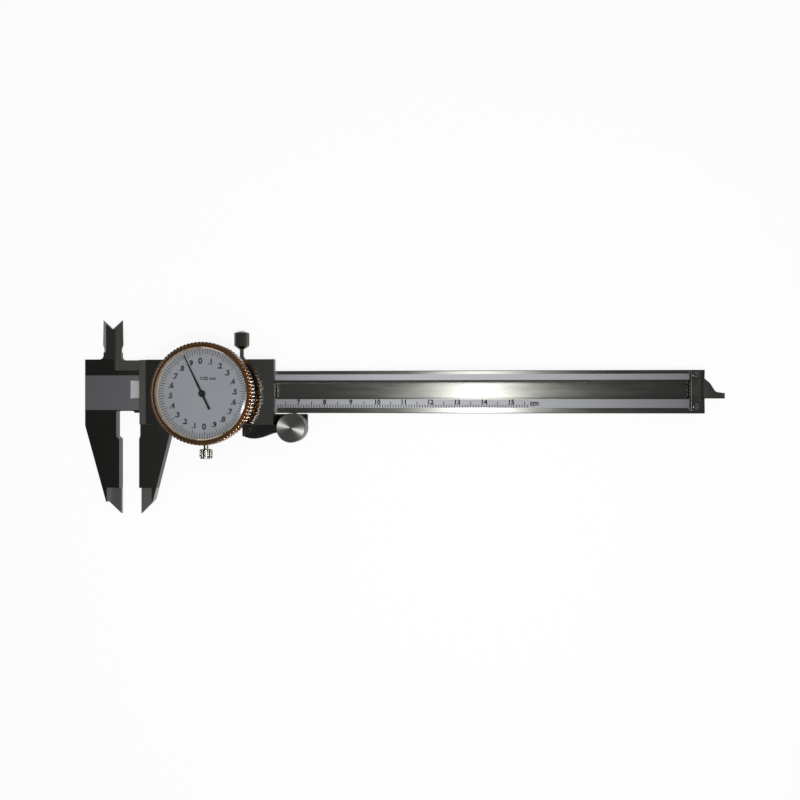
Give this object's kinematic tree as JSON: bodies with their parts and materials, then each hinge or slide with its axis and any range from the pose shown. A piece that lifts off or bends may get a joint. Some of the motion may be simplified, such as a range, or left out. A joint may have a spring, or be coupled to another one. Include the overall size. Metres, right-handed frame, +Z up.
{
  "type": "dial caliper",
  "caption": "Dial caliper for outside, inside and depth measuring: beam with fixed jaws, slider with moving jaws, geared dial, lock screw, thumb roller.",
  "frame": {"origin": "middle of the lowest face of the bounding box: the caliper lies on its back cover", "axes": "+X along the beam from the fixed jaws to the depth rod's tip, +Y across the beam to the inside jaws, +Z up out of the dial"},
  "size_m": [0.2416, 0.075, 0.0165],
  "materials": {
    "polished_steel": "polished, with satin rails",
    "ground_steel": "fine ground",
    "screw_steel": "turned",
    "thumb_screw_steel": "turned and fluted",
    "roller_steel": "spun face, knurled side",
    "hard_steel": "bright",
    "spring_steel": "bright",
    "brass": "polished",
    "case_black": "satin black",
    "copper_bezel": "copper-coloured anodising, polished",
    "dial_white": "pale satin",
    "ring_white": "matte",
    "crystal_clear": "polished",
    "pointer_black": "satin black",
    "bracket_black": "gloss black"
  },
  "bodies": {
    "beam": {"main_beam": "polished_steel", "rack": "hard_steel", "end_stop": "polished_steel", "end_stop_screws": "screw_steel"},
    "rack_pinion": {"pinion_arbor": "hard_steel", "main_wheel": "brass", "takeup_wheel": "brass", "takeup_spring": "spring_steel"},
    "pointer": {"centre_pinion": "hard_steel", "pointer": "pointer_black"},
    "dial": {"bezel": "copper_bezel", "dial_face": "dial_white", "crystal_ring": "ring_white", "crystal": "crystal_clear"},
    "bezel_clamp": {"bezel_clamp_screw": "thumb_screw_steel"},
    "lock": {"lock_screw": "thumb_screw_steel"},
    "roller": {"thumb_roller": "roller_steel"},
    "slider": {"slider_frame": "polished_steel", "back_cover": "ground_steel", "back_cover_screws": "screw_steel", "gib": "hard_steel", "gib_screws": "screw_steel", "depth_rod": "ground_steel", "depth_rod_screws": "screw_steel", "dial_case": "case_black", "case_screws": "screw_steel", "bezel_spring": "spring_steel", "movement_plate": "brass", "movement_screws": "screw_steel", "pivot_bushes": "brass", "roller_bracket": "bracket_black", "bracket_screws": "screw_steel", "roller_axle": "hard_steel"}
  },
  "joints": [
    {"name": "slider_slide", "type": "slide", "parent": "beam", "child": "slider", "axis": [1, 0, 0], "range_m": [-0.00788, 0.14713]},
    {"name": "pinion_spin", "type": "hinge", "parent": "slider", "child": "rack_pinion", "pos_m": [-0.07949, 0.01104, 0.00635], "axis": [0, 0, 1], "continuous": true},
    {"name": "pointer_spin", "type": "hinge", "parent": "slider", "child": "pointer", "pos_m": [-0.07136, 0.0089, 0.00985], "axis": [0, 0, 1], "continuous": true},
    {"name": "roller_spin", "type": "hinge", "parent": "slider", "child": "roller", "pos_m": [-0.03941, -0.00395, 0.00485], "axis": [0, 0, 1], "continuous": true},
    {"name": "bezel_turn", "type": "hinge", "parent": "slider", "child": "dial", "pos_m": [-0.07136, 0.0089, 0.01285], "axis": [0, 0, 1], "continuous": true},
    {"name": "bezel_clamp_turn", "type": "hinge", "parent": "slider", "child": "bezel_clamp", "pos_m": [-0.07136, -0.01185, 0.00975], "axis": [0, -1, 0], "range_deg": [-20, 360]},
    {"name": "lock_turn", "type": "hinge", "parent": "slider", "child": "lock", "pos_m": [-0.05956, 0.02595, 0.00325], "axis": [0, 1, 0], "range_deg": [-90, 270]}
  ],
  "couplings": [
    {"joint": "pinion_spin", "follows": "slider_slide", "rad_per_m": 523.6},
    {"joint": "pointer_spin", "follows": "slider_slide", "rad_per_m": -3141.6},
    {"joint": "roller_spin", "follows": "slider_slide", "rad_per_m": 181.82}
  ]
}
